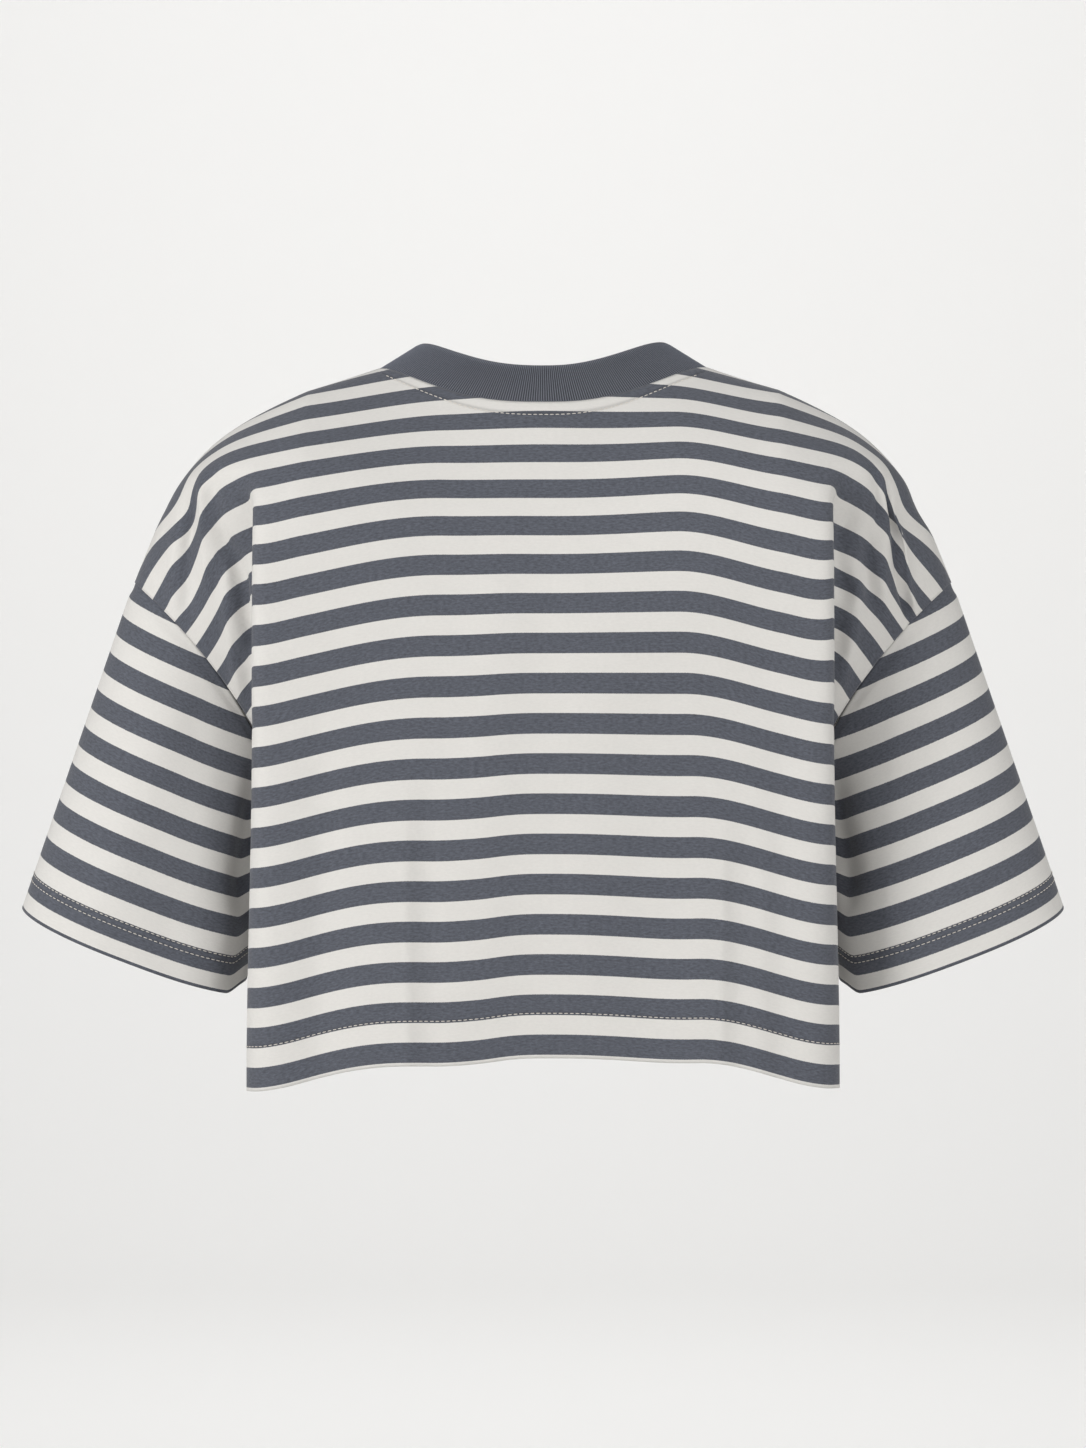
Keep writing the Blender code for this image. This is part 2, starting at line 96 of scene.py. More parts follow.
# Largest folds of the torso: soft ridges that run down to the hem. side, place across, first q,
# half width, how far it stands out, where it hangs lower and how much, at the hem and above it
RIDGES = (
    (-1, 0.086, 0.17, 0.040, 0.0065, 0.069, 0.0050, 0.0004),
    (+1, 0.111, 0.26, 0.036, 0.0060, 0.086, 0.0030, -0.0020),
)
# Folds of the dropped shoulder: side, top p and q, low p and q, half width, and how far it steps
# in, from a ridge on the body's side to a valley outside it
SHOULDER_FOLDS = (
    (-1, 0.226, 0.066, 0.268, 0.114, 0.0060, 0.0026),
    (-1, 0.260, 0.054, 0.302, 0.100, 0.0065, 0.0022),
    (-1, 0.246, 0.112, 0.284, 0.178, 0.0065, 0.0028),
    (+1, 0.230, 0.064, 0.276, 0.130, 0.0055, 0.0028),
    (+1, 0.246, 0.056, 0.308, 0.108, 0.0060, 0.0036),
    (+1, 0.250, 0.134, 0.276, 0.192, 0.0065, 0.0028),
)
# How the back's rows slip on the dropped shoulders: side, slip along q, centre p and q, half width
# across and down
SHOULDER_SLIPS = (
    (-1, +0.0245, 0.259, 0.042, 0.037, 0.036),
    (-1, -0.0125, 0.250, 0.123, 0.038, 0.045),
    (+1, +0.0315, 0.257, 0.041, 0.042, 0.033),
    (+1, -0.0085, 0.260, 0.131, 0.047, 0.062),
    (+1, -0.0160, 0.297, 0.154, 0.073, 0.067),
    (+1, +0.0095, 0.298, 0.082, 0.032, 0.026),
)


def ease(t):
    """0 below 0, 1 above 1, smooth between."""
    t = np.clip(t, 0.0, 1.0)
    return t * t * (3 - 2 * t)


def hump(offset, half_width):
    """A soft bump of height 1 at offset 0."""
    return np.exp(-(offset / half_width) ** 2)


def fold_step(p, q, top, low, half_width):
    """A ridge and a valley beside the pattern line from top to low, soft at the line's ends."""
    run = np.subtract(low, top)
    length = np.hypot(*run)
    share = ((p - top[0]) * run[0] + (q - top[1]) * run[1]) / length ** 2
    off = ((p - top[0]) * run[1] - (q - top[1]) * run[0]) / length / half_width
    return -off * np.exp((1 - off ** 2) / 2) * ease((share + 0.25) / 0.40) * ease((1.25 - share) / 0.40)


def bezier(a, b, c, d, t):
    """Points at t on a cubic curve; a, b, c and d are (..., 3), t is (n,)."""
    t = t[:, None]
    return a * (1 - t) ** 3 + 3 * b * t * (1 - t) ** 2 + 3 * c * t * t * (1 - t) + d * t ** 3


def along(points, share):
    """Points at the given shares of a polyline's length."""
    steps = np.linalg.norm(np.diff(points, axis=0), axis=1)
    run = np.concatenate(([0.0], np.cumsum(steps)))
    return np.stack([np.interp(share * run[-1], run, points[:, i]) for i in range(3)], axis=1)


# ---- the armhole and the sleeve's rings ---------------------------------------------------------
def armhole_point(angle, side):
    """A point of the armhole ring: 0 is the shoulder tip, pi/2 the back, pi the underarm."""
    tip = np.array(ARM_TIP)
    pit = np.array(ARM_PIT)
    centre = (tip + pit) / 2
    half = (tip - pit) / 2
    inward = np.array([-half[2], 0.0, half[0]]) / np.hypot(half[0], half[2])
    angle = np.asarray(angle)[..., None]
    ring = centre + half * np.cos(angle) + inward * ARM_BOW * np.sin(angle) ** 2
    ring = ring - np.array([0.0, ARM_DEPTH, 0.0]) * np.sin(angle)
    return ring * np.array([side, 1, 1])


def armhole_angle(q):
    """The cloth crosses the armhole ring evenly from its tip to the underarm."""
    share = np.clip((q - SEAM_TOP) / (UNDERARM - SEAM_TOP), 0.0, 1.0)
    return np.arccos(1 - 2 * share)


def sleeve_hem_point(angle, side):
    """A point of the sleeve's hem ring, with the same angles as the armhole ring."""
    outer = np.array(HEM_RING_OUTER)
    across = np.array([-np.cos(HEM_RING_TILT), 0.0, -np.sin(HEM_RING_TILT)])
    angle = np.asarray(angle)[..., None]
    cosine = np.cos(angle)
    sine = np.sin(angle)
    ring = outer + across * HEM_RING_HALF * (1 - np.sign(cosine) * np.abs(cosine) ** 0.82)
    ring = ring - np.array([0.0, HEM_RING_DEPTH, 0.0]) * np.sign(sine) * np.abs(sine) ** 0.8
    ring = ring + np.array([0.0, 0.0, HEM_RING_LIFT]) * ease((-cosine - 0.80) / 0.20)
    ring = ring - np.array([0.0, 0.0, HEM_RING_ROLL]) * sine
    return ring * np.array([side, 1, 1])


# ---- torso -------------------------------------------------------------------------------------
def torso_lean(x, q, face):
    """How far the cloth leans back from upright, in radians; it lies flat at the shoulder."""
    reach = ease(x / 0.175)
    steep = np.radians(34 + 30 * reach)
    run = 0.270 - 0.115 * reach
    if face > 0:
        steep = np.radians(FRONT_LEAN_MIDDLE + (FRONT_LEAN_SIDE - FRONT_LEAN_MIDDLE) * reach)
        run = FRONT_LEAN_RUN + 0.030 * reach
    lean = steep * (1 - ease(q / run))
    ridge = 0.10 * ease((x - 0.10) / 0.25)
    return lean + np.radians(30) * (1 - ease((q - ridge + 0.014) / 0.030)) * ease(x / 0.125)


def cloth_dip(x, q, side):
    """How far a row of the cloth hangs below its centre line at x."""
    low = ease((q - 0.10) / 0.30)
    dip = np.zeros_like(x + q)
    for drop_side, drop, top_share, start, width, neck_drop in SIDE_DROPS:
        if drop_side == side:
            share = (top_share + (1 - top_share) * low) * (0.55 + 0.45 * ease(q / 0.055))
            dip = dip + drop * share * ease((x - start + 0.014 * (1 - low)) / width)
            dip = dip + neck_drop * hump(x - 0.100, 0.035) * (1 - ease(q / 0.060))
    for fold_side, _, _, width, _, place, low_drop, high_drop in RIDGES:
        if fold_side == side:
            lower = high_drop + (low_drop - high_drop) * low
            dip = dip + lower * hump(x - place, 1.15 * width) * ease(x / 0.040)
    return dip


def ridge_height(x, q, side):
    """How far the torso's soft ridges stand out, with a shallow trough outside each."""
    height = np.zeros_like(x + q)
    for fold_side, place, start, width, tall, _, _, _ in RIDGES:
        if fold_side == side:
            grow = ease((q - start) / (BODY_LENGTH - start))
            height = height + tall * grow * hump(x - place, width)
            height = height - 0.6 * tall * grow * hump(x - place - 1.5 * width, 0.8 * width)
    return height


def torso_profile(x, q, side, face):
    """The torso's y and z for the columns x at the evenly spaced heights q, from the hem up."""
    step = q[1] - q[0]
    lean = torso_lean(x[None, :], q[:, None], face)
    rise = np.cumsum(np.cos(lean)[::-1], axis=0)[::-1] * step
    inset = np.cumsum(np.sin(lean)[::-1], axis=0)[::-1] * step
    depth = BACK_DEPTH if face < 0 else FRONT_DEPTH
    z = HEM_Z + rise - cloth_dip(x[None, :], q[:, None], side)
    y = face * (depth - 0.004 * ease(x / 0.15) - inset + ridge_height(x[None, :], q[:, None], side))
    return y, z


def shoulder_shift(x, q, side, y, z):
    """What moves the front's columns so that they meet the back's on the shoulder seam."""
    back_y, back_z = torso_profile(x, q, side, -1)
    seam = panel_top(x, -1)
    first = int(np.searchsorted(x, NECK_HALF))
    shift = np.zeros((len(x), 2))
    for i in range(first, len(x)):
        shift[i, 0] = np.interp(seam[i], q, back_y[:, i]) - np.interp(seam[i], q, y[:, i])
        shift[i, 1] = np.interp(seam[i], q, back_z[:, i]) - np.interp(seam[i], q, z[:, i])
    shift[:first] = shift[first]
    return shift


def torso_sheet(q, side, face):
    """The torso's points for x from 0 to 0.15 (columns) at the heights q (rows)."""
    x = np.linspace(0.0, 0.150, 31)
    fine = np.arange(-0.016, BODY_LENGTH + 0.0005, 0.002)
    y, z = torso_profile(x, fine, side, face)
    if face > 0:
        shift = shoulder_shift(x, fine, side, y, z)
        y = y + shift[None, :, 0]
        z = z + shift[None, :, 1] * (1 - ease(fine / BODY_LENGTH))[:, None]
    sheet = np.zeros((len(q), len(x), 3))
    sheet[:, :, 0] = x
    for column in range(len(x)):
        sheet[:, column, 1] = np.interp(q, fine, y[:, column])
        sheet[:, column, 2] = np.interp(q, fine, z[:, column])
    return sheet


def side_point(q):
    """The side seam, from the underarm to the hem, on the +X side."""
    drop = np.clip((q - UNDERARM) / (BODY_LENGTH - UNDERARM), 0.0, 1.0)
    x = SIDE_X - 0.004 * np.sin(pi * drop) + 0.006 * drop
    z = ARM_PIT[2] + (HEM_Z - 0.0235 - ARM_PIT[2]) * drop
    return np.array([x, SIDE_Y, z])


def row_end(q, face):
    """Where the row at q ends: over the shoulder, on the armhole or on the side seam."""
    if q >= UNDERARM:
        return side_point(q)
    if q >= SEAM_TOP:
        return armhole_point(-face * armhole_angle(q), 1)
    return np.array(ARM_TIP) - np.array([0.0, face * (SEAM_TOP - q), 0.0])


def shoulder_row(start, end, q):
    """A row that lies over the shoulder: one smooth bend from the torso to the armhole."""
    fall = 0.034 - 0.018 * ease(q / 0.060)
    first = start + np.array([0.080, 0.0, -fall]) + 0.12 * (end - start) * np.array([0, 1, 0])
    last = end + np.array([-0.034, 0.0, 0.078]) - 0.35 * (end - start) * np.array([0, 1, 0])
    return bezier(start, first, last, end, np.linspace(0, 1, 60))


def pleat_row(start, end, q, face, slope):
    """A row that turns at the body's edge, runs back into the armpit pleat and out again."""
    edge_x = BODY_HALF_WIDTH + HEM_FLARE * ease((q - 0.24) / 0.22)
    corner = 0.010 + 0.012 * ease((q - 0.20) / 0.25)
    deep = ease((q - 0.070) / 0.170)
    full = ease((q - UNDERARM + 0.05) / 0.05)
    y = start[1]
    turn = np.linspace(0, pi / 2, 9)
    bend_x = edge_x - corner + corner * np.sin(turn)
    bend_y = y - face * corner * (1 - np.cos(turn))
    wall_y = bend_y[-1] + (end[1] - bend_y[-1]) * (0.16 + 0.30 * deep + 0.10 * full)
    wall_x = edge_x - 0.011
    mid_y = wall_y + 0.55 * (end[1] - wall_y)
    mid_x = wall_x + 0.50 * (end[0] - wall_x)
    plan = np.array([(start[0], y)] + list(zip(bend_x, bend_y)) + [
        (edge_x - 0.004, (bend_y[-1] + wall_y) / 2), (wall_x, wall_y), (mid_x, mid_y),
        (end[0], end[1])])
    run = np.concatenate(([0.0], np.cumsum(np.linalg.norm(np.diff(plan, axis=0), axis=1))))
    even = np.linspace(0, run[-1], 80)
    x = smooth_track(run, plan[:, 0], even)
    y = smooth_track(run, plan[:, 1], even)
    edge = (edge_x - start[0]) / run[-1]
    fall = start[2] - end[2]
    share = even / run[-1]
    lip = 0.006
    near = np.clip(share / edge, 0, 1)
    lead = slope * (edge_x - start[0]) * near * (1 - near) ** 2
    past = np.clip((share - edge) / (1 - edge), 0, 1)
    z = start[2] + lead - lip * ease(near) - (fall - lip) * past ** 1.12
    return np.stack([x, y, z], axis=1)


def smooth_track(run, values, even):
    """The values over run, resampled at even and rounded where the track turns."""
    track = np.interp(even, run, values)
    for _ in range(6):
        track[1:-1] = (track[:-2] + 2 * track[1:-1] + track[2:]) / 4
    return track


class HalfPanel:
    """Half of the back (face -1) or front (face +1), as a table of its points by share and q."""

    def __init__(self, side, face):
        self.side = side
        self.face = face
        self.q = np.arange(-0.014, BODY_LENGTH + 0.002, 0.0025)
        self.share = np.linspace(0, 1, 241)
        sheet = torso_sheet(self.q, side, face)
        rows = [self.row(sheet[i], q) for i, q in enumerate(self.q)]
        self.table = np.array(rows)
        for _ in range(3):
            self.table[1:-1] = (self.table[:-2] + 2 * self.table[1:-1] + self.table[2:]) / 4
        if face < 0:
            self.table = self.slipped()
        self.table = self.table + self.outward() * self.folds()[:, :, None]

    def slipped(self):
        """The table with its rows drawn along the cloth, as SHOULDER_SLIPS says."""
        q = self.q[:, None]
        p = self.share[None, :] * panel_width(q)
        slip = np.zeros_like(p)
        for side, amount, centre_p, centre_q, across, down in SHOULDER_SLIPS:
            if side == self.side:
                slip = slip + amount * hump(p - centre_p, across) * hump(q - centre_q, down)
        slip = slip * ease((p - 0.175) / 0.035) * ease(q / 0.024) * ease((UNDERARM - q) / 0.030)
        drawn = np.empty_like(self.table)
        for i in range(len(self.share)):
            for axis in range(3):
                drawn[:, i, axis] = np.interp(self.q + slip[:, i], self.q, self.table[:, i, axis])
        return drawn

    def outward(self):
        """The sheet's unit normals, away from the body."""
        across = np.gradient(self.table, axis=1)
        down = np.gradient(self.table, axis=0)
        normal = np.cross(across, down) * -self.face
        return normal / (np.linalg.norm(normal, axis=2)[:, :, None] + 1e-12)

    def folds(self):
        """Heights of the dropped shoulder's folds; they die out just before the armhole seam."""
        q = self.q[:, None]
        p = self.share[None, :] * panel_width(q)
        height = np.zeros_like(p)
        for side, top_p, top_q, low_p, low_q, width, tall in SHOULDER_FOLDS:
            if side == self.side:
                height = height + tall * fold_step(p, q, (top_p, top_q), (low_p, low_q), width)
        return height * ease((1 - self.share[None, :]) / 0.035)

    def row(self, torso, q):
        """One row of cloth, from the torso columns out to where it ends."""
        start = torso[-1]
        end = row_end(q, self.face)
        slope = (torso[-1, 2] - torso[-3, 2]) / (torso[-1, 0] - torso[-3, 0])
        shoulder = along(np.vstack([torso[:-1], shoulder_row(start, end, q)]), self.share)
        pleat = along(np.vstack([torso[:-1], pleat_row(start, end, q, self.face, slope)]), self.share)
        blend = ease((q - 0.068) / 0.040)
        return shoulder * (1 - blend) + pleat * blend

    def at(self, share, q):
        """Points of the worn cloth, on this half's side of the body."""
        u = np.clip(share, 0, 1) * (len(self.share) - 1)
        v = np.clip((q - self.q[0]) / (self.q[1] - self.q[0]), 0, len(self.q) - 1.001)
        i = np.minimum(u.astype(int), len(self.share) - 2)
        j = v.astype(int)
        fu = (u - i)[..., None]
        fv = (v - j)[..., None]
        top = self.table[j, i] * (1 - fu) + self.table[j, i + 1] * fu
        low = self.table[j + 1, i] * (1 - fu) + self.table[j + 1, i + 1] * fu
        return (top * (1 - fv) + low * fv) * np.array([self.side, 1, 1])


def panel_width(q):
    """Half the flat width of a panel at q."""
    share = np.clip((q - SEAM_TOP) / (UNDERARM - SEAM_TOP), 0, 1)
    return SHOULDER_REACH + (HALF_CHEST - SHOULDER_REACH) * share - 0.010 * np.sin(pi * share)


def panel_top(p, face):
    """The panel's upper edge: the neck curve, then the shoulder seam."""
    drop, power, round_power = BACK_NECK if face < 0 else FRONT_NECK
    curve = (1 - np.clip(p / NECK_HALF, 0, 1) ** power) ** round_power
    neck = SHOULDER_TOP + (drop - SHOULDER_TOP) * curve
    return np.where(p < NECK_HALF, neck, SHOULDER_TOP + SHOULDER_SLOPE * (p - NECK_HALF))


def panel_points(face, columns, rows):
    """The whole panel's grid of points, top row first, from the wearer's left to the right."""
    p = columns * SHOULDER_REACH
    top = panel_top(p, face) + np.where(p < NECK_HALF - EDGE, 0.0, SHOULDER_CLEARANCE)
    q = top[None, :] + (BODY_LENGTH - top[None, :]) * rows[:, None]
    share = np.minimum(columns[None, :] + 0 * rows[:, None], 1 - SIDE_CLEARANCE / HALF_CHEST)
    left, right = [HalfPanel(side, face).at(share, q) for side in (-1, +1)]
    return np.concatenate([left[:, :0:-1], right], axis=1)


def match_shoulders(front, back, columns, rows):
    """Bring the front's shoulder edge onto the back's, easing out down the chest."""
    outer = int(np.sum(columns * SHOULDER_REACH >= NECK_HALF - EDGE))
    shift = back[0] - front[0] + np.array([0.0, 2 * SHOULDER_CLEARANCE, 0.0])
    shift[outer:-outer] = 0.0
    keep = 1 - ease(rows / 0.30)
    return front + keep[:, None, None] * shift[None, :, :]


# ---- sleeves and neckband ----------------------------------------------------------------------
def sleeve_points(side, angles, lengths):
    """The sleeve's rings, from the armhole to the hem, each point running straight down."""
    top = armhole_point(angles, side)
    low = sleeve_hem_point(angles, side)
    run = np.linalg.norm(low - top, axis=1)
    pull = SLEEVE_PULL * (1 + 0.8 * (1 - np.cos(angles)) / 2)
    start = (pull / run)[None, :, None]
    share = start + (1 - start) * lengths[:, None, None]
    return top[None] * (1 - share) + low[None] * share


def neck_ring(back, front, columns):
    """The neck seam: the panels' neck edges joined in one closed ring, back first."""
    whole = np.concatenate([-columns[:0:-1], columns]) * SHOULDER_REACH
    inside = np.abs(whole) <= NECK_HALF + EDGE
    back_arc = back[0][inside]
    front_arc = front[0][inside][::-1]
    return np.concatenate([back_arc, front_arc[1:-1]])


def band_points(ring, heights):
    """Rows of the neckband, from the neck seam up; it leans in more at the sides."""
    middle = np.array([0.0, ring[:, 1].mean(), 0.0])
    inward = (middle - ring) * np.array([1, 1, 0])
    inward = inward / np.linalg.norm(inward, axis=1)[:, None]
    sideways = inward[:, 0] ** 4
    lean = np.radians(BAND_RISE_MIDDLE + (BAND_RISE_SIDE - BAND_RISE_MIDDLE) * sideways)
    climb = inward * np.cos(lean)[:, None] + np.array([0, 0, 1]) * np.sin(lean)[:, None]
    seat = ring + climb * BAND_SEAT
    return seat[None] + climb[None] * (BAND_HEIGHT * heights)[:, None, None]


# ---- cloth as seen -----------------------------------------------------------------------------
SHEET = 0.0009                # thickness of the jersey
PANEL_CELL = 0.0028           # size of a cell of the panels' meshes
SLEEVE_CELL = 0.0026
HEM_EDGE = 0.002              # dark edge of the sleeve hems
SLEEVE_RUN = 0.21             # mean length of the worn sleeve, from seam to hem
SLEEVE_FLAT = (0.42, 0.222)   # round the sleeve and from the seam to the hem, laid out flat
TUCK_HEIGHT = 0.0045          # how far a sleeve's top runs up under the armhole edge
TUCK_DEPTH = 0.0013           # and how far under it lies
TUCK_RUN = 0.007
STRIPE_REPEAT = 0.025
STRIPE_DARK = 0.013
BODY_FIRST_STRIPE = 0.003     # top of a dark stripe, as q
SLEEVE_FIRST_STRIPE = 0.0114  # lower edge of a dark stripe, above the sleeve's hem
RIB_PITCH = 0.00157
RIB_DEPTH = 0.00042
RIB_SAMPLES = 8               # points round each rib
BAND_EDGE = 0.0010            # radius of the folded top edge of the neckband
STITCH_LENGTH = 0.0026
STITCH_GAP = 0.0009
STITCH_RADIUS = 0.00030
# GROOVE_WIDTH also sets how wide the painted shade along each line of stitching is
GROOVE_WIDTH = 0.0008         # how far the stitching draws the cloth in on each side
NECK_STITCH = 0.0100          # topstitching below the neck seam
HEM_STITCH = 0.0286           # above the body's hem
CUFF_STITCHES = (0.0195, 0.0235)

# Creases of the back that are too fine for its form: from p and q to p and q on the pattern, p
# below zero on the wearer's left, then half width and height; below zero is a trough
BACK_CREASES = (
    (-0.087, 0.31, -0.087, 0.475, 0.0040, 0.0011),
    (-0.075, 0.30, -0.074, 0.475, 0.0100, -0.0032),
    (+0.115, 0.33, +0.114, 0.475, 0.0030, 0.0010),
    (+0.127, 0.32, +0.126, 0.475, 0.0100, -0.0034),
    (-0.030, 0.14, -0.036, 0.45, 0.0200, 0.0020),
    (+0.038, 0.18, +0.030, 0.44, 0.0230, 0.0018),
    (+0.152, 0.22, +0.154, 0.47, 0.0100, -0.0018),
    (-0.142, 0.24, -0.148, 0.47, 0.0120, -0.0018),
    (-0.244, 0.096, -0.250, 0.138, 0.0055, -0.0044),
    (-0.253, 0.137, -0.264, 0.168, 0.0055, -0.0050),
    (-0.228, 0.120, -0.232, 0.215, 0.0080, -0.0055),
    (-0.237, 0.082, -0.266, 0.118, 0.0040, 0.0016),
    (-0.262, 0.056, -0.298, 0.095, 0.0045, 0.0014),
    (-0.256, 0.130, -0.274, 0.172, 0.0040, 0.0016),
    (+0.226, 0.076, +0.270, 0.119, 0.0040, 0.0018),
    (+0.221, 0.090, +0.252, 0.146, 0.0065, -0.0050),
    (+0.240, 0.148, +0.268, 0.180, 0.0065, -0.0040),
    (+0.246, 0.052, +0.290, 0.090, 0.0045, -0.0020),
    (+0.290, 0.090, +0.309, 0.118, 0.0045, -0.0018),
    (+0.226, 0.115, +0.232, 0.215, 0.0080, -0.0060),
)
FRONT_CREASES = (
    (-0.095, 0.29, -0.100, 0.475, 0.0120, 0.0022),
    (-0.070, 0.33, -0.072, 0.475, 0.0120, -0.0016),
    (+0.084, 0.31, +0.090, 0.475, 0.0110, 0.0020),
    (+0.108, 0.33, +0.112, 0.475, 0.0120, -0.0016),
    (+0.010, 0.22, +0.006, 0.44, 0.0300, 0.0014),
    (-0.215, 0.09, -0.262, 0.170, 0.0080, -0.0020),
    (+0.222, 0.10, +0.258, 0.180, 0.0080, -0.0020),
)
# Soft folds of the sleeves: side (0 for both), angle round it, drift, first and last share of its
# length, half width in radians, height
SLEEVE_FOLDS = (
    (-1, 1.50, 0.35, -0.05, 1.10, 0.22, -0.0022),
    (-1, 1.05, 0.30, 0.10, 1.10, 0.26, 0.0016),
    (-1, 2.15, 0.20, 0.00, 1.10, 0.20, 0.0022),
    (-1, 2.46, 0.05, 0.02, 0.74, 0.28, -0.0075),
    (+1, 2.44, 0.05, 0.02, 0.74, 0.28, -0.0085),
    (+1, 1.25, 0.25, -0.05, 1.10, 0.20, -0.0016),
    (+1, 1.80, 0.30, 0.10, 1.10, 0.26, 0.0018),
    (0, 4.20, 0.25, 0.05, 1.10, 0.24, 0.0022),
    (0, 4.80, 0.20, 0.00, 1.10, 0.22, -0.0018),
)

# Colours as linear RGB
LIGHT_YARN = (0.690, 0.672, 0.640)
DARK_YARN = (0.088, 0.095, 0.116)
RIB_YARN = (0.110, 0.118, 0.142)
THREAD = (0.70, 0.66, 0.60)
BACKDROP = (0.940, 0.934, 0.922)


# ---- meshes ------------------------------------------------------------------------------------
def loft(name, points, uv, lap=0.0, neck=None):
    """Quads through rows of points, with the pattern's coordinates as UV map; a ring if it laps."""
    rows, columns = points.shape[:2]
    index = np.arange(rows * columns).reshape(rows, columns)
    if lap:
        index = np.concatenate([index, index[:, :1]], axis=1)
        uv = np.concatenate([uv, uv[:, :1] + np.array([lap, 0.0])], axis=1)
    quads = np.stack([index[:-1, :-1], index[1:, :-1], index[1:, 1:], index[:-1, 1:]], axis=-1)
    corners = np.stack([uv[:-1, :-1], uv[1:, :-1], uv[1:, 1:], uv[:-1, 1:]], axis=2)
    mesh = bpy.data.meshes.new(name)
    mesh.from_pydata(points.reshape(-1, 3).tolist(), [], quads.reshape(-1, 4).tolist())
    layer = mesh.uv_layers.new(name="pattern")
    layer.data.foreach_set("uv", corners.reshape(-1).astype(np.float32))
    if neck is not None:
        below = mesh.attributes.new("below neck", "FLOAT", "POINT")
        below.data.foreach_set("value", neck.reshape(-1).astype(np.float32))
    mesh.shade_smooth()
    mesh.update()
    return mesh


def below_neck(pattern, face):
    """How far each point of a panel lies below its neck edge; far, beyond the neck's width."""
    p = np.abs(pattern[:, :, 0])
    return np.where(p < NECK_HALF, pattern[:, :, 1] - panel_top(p, face), 1.0)


def cloth(name, mesh, material, thickness, node):
    """The object that shows a cloth mesh in place of its CAD node."""
    thing = bpy.data.objects.new(name, mesh)
    bpy.context.scene.collection.objects.link(thing)
    mesh.materials.append(material)
    if thickness:
        shell = thing.modifiers.new("cloth", "SOLIDIFY")
        shell.thickness = thickness
        shell.offset = -1.0
    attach(thing, "root")
    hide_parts(node)
    return thing


# ---- pieces ------------------------------------------------------------------------------------
def fine_columns():
    """Shares of the half panel across, with one exactly where the neck meets the shoulder."""
    neck = NECK_HALF / SHOULDER_REACH
    neck_count = round(NECK_HALF / PANEL_CELL)
    side_count = round((SHOULDER_REACH - NECK_HALF) / PANEL_CELL)
    return np.concatenate([np.linspace(0, neck, neck_count, endpoint=False),
                           np.linspace(neck, 1, side_count + 1)])


def panel_pattern(face, columns, rows):
    """The p and q of every point of panel_points."""
    p = columns * SHOULDER_REACH
    top = panel_top(p, face) + np.where(p < NECK_HALF - EDGE, 0.0, SHOULDER_CLEARANCE)
    q = top[None, :] + (BODY_LENGTH - top[None, :]) * rows[:, None]
    p = columns[None, :] * panel_width(q)
    whole_p = np.concatenate([-p[:, :0:-1], p], axis=1)
    whole_q = np.concatenate([q[:, :0:-1], q], axis=1)
    return np.stack([whole_p, whole_q], axis=2)


def panel_creases(pattern, creases):
    """Heights of a panel's fine creases at its points of the pattern."""
    p = pattern[:, :, 0]
    q = pattern[:, :, 1]
    height = np.zeros_like(p)
    for top_p, top_q, low_p, low_q, width, tall in creases:
        run = np.array([low_p - top_p, low_q - top_q])
        length = np.hypot(*run)
        share = ((p - top_p) * run[0] + (q - top_q) * run[1]) / length ** 2
        off = ((p - top_p) * run[1] - (q - top_q) * run[0]) / length
        height = height + tall * hump(off, width) * ease((share + 0.2) / 0.5) * ease((1.2 - share) / 0.4)
    return height


def make_panels(material):
    columns = fine_columns()
    rows = np.linspace(0, 1, round(BODY_LENGTH / PANEL_CELL))
    back = panel_points(-1, columns, rows)
    front = match_shoulders(panel_points(+1, columns, rows), back, columns, rows)
    back_uv = panel_pattern(-1, columns, rows)
    front_uv = panel_pattern(+1, columns, rows)
    back = back + grid_normals(back, 1) * panel_creases(back_uv, BACK_CREASES)[:, :, None]
    front = front + grid_normals(front, -1) * panel_creases(front_uv, FRONT_CREASES)[:, :, None]
    back_mesh = loft("back_panel_cloth", back, back_uv, neck=below_neck(back_uv, -1))
    front_mesh = loft("front_panel_cloth", front[:, ::-1], front_uv[:, ::-1],
                      neck=below_neck(front_uv[:, ::-1], +1))
    pieces = {
        "back_panel": cloth("back_panel_cloth", back_mesh, material, SHEET, "back_panel"),
        "front_panel": cloth("front_panel_cloth", front_mesh, material, SHEET, "front_panel"),
    }
    return pieces, back, front, columns


def make_sleeve(side, material):
    """A sleeve whose top is tucked just under the panels' armhole edge."""
    name = "sleeve_left" if side < 0 else "sleeve_right"
    count = round(SLEEVE_FLAT[0] / SLEEVE_CELL)
    around = np.arange(count) * 2 * pi / count
    if side > 0:
        around = around[::-1]
    lengths = np.linspace(-TUCK_HEIGHT / SLEEVE_RUN, 1, round(SLEEVE_FLAT[1] / SLEEVE_CELL))
    points = sleeve_points(side, around, lengths)
    hem = points[-1]
    above = np.linalg.norm(points - hem[None], axis=2)
    reach = np.concatenate(([0.0], np.cumsum(np.linalg.norm(np.diff(hem, axis=0), axis=1))))
    uv = np.stack([np.broadcast_to(reach, above.shape), above], axis=2)
    near = 1 - ease((lengths * SLEEVE_RUN - 0.001) / TUCK_RUN)
    points = points - grid_normals(points, 1, True) * (TUCK_DEPTH * near)[:, None, None]
    points = points + grid_normals(points, 1, True) * sleeve_folds(side, around, lengths)[:, :, None]
    lap = reach[-1] + np.linalg.norm(hem[0] - hem[-1])
    mesh = loft(name + "_cloth", points, uv, lap)
    return cloth(name + "_cloth", mesh, material, SHEET, name), points


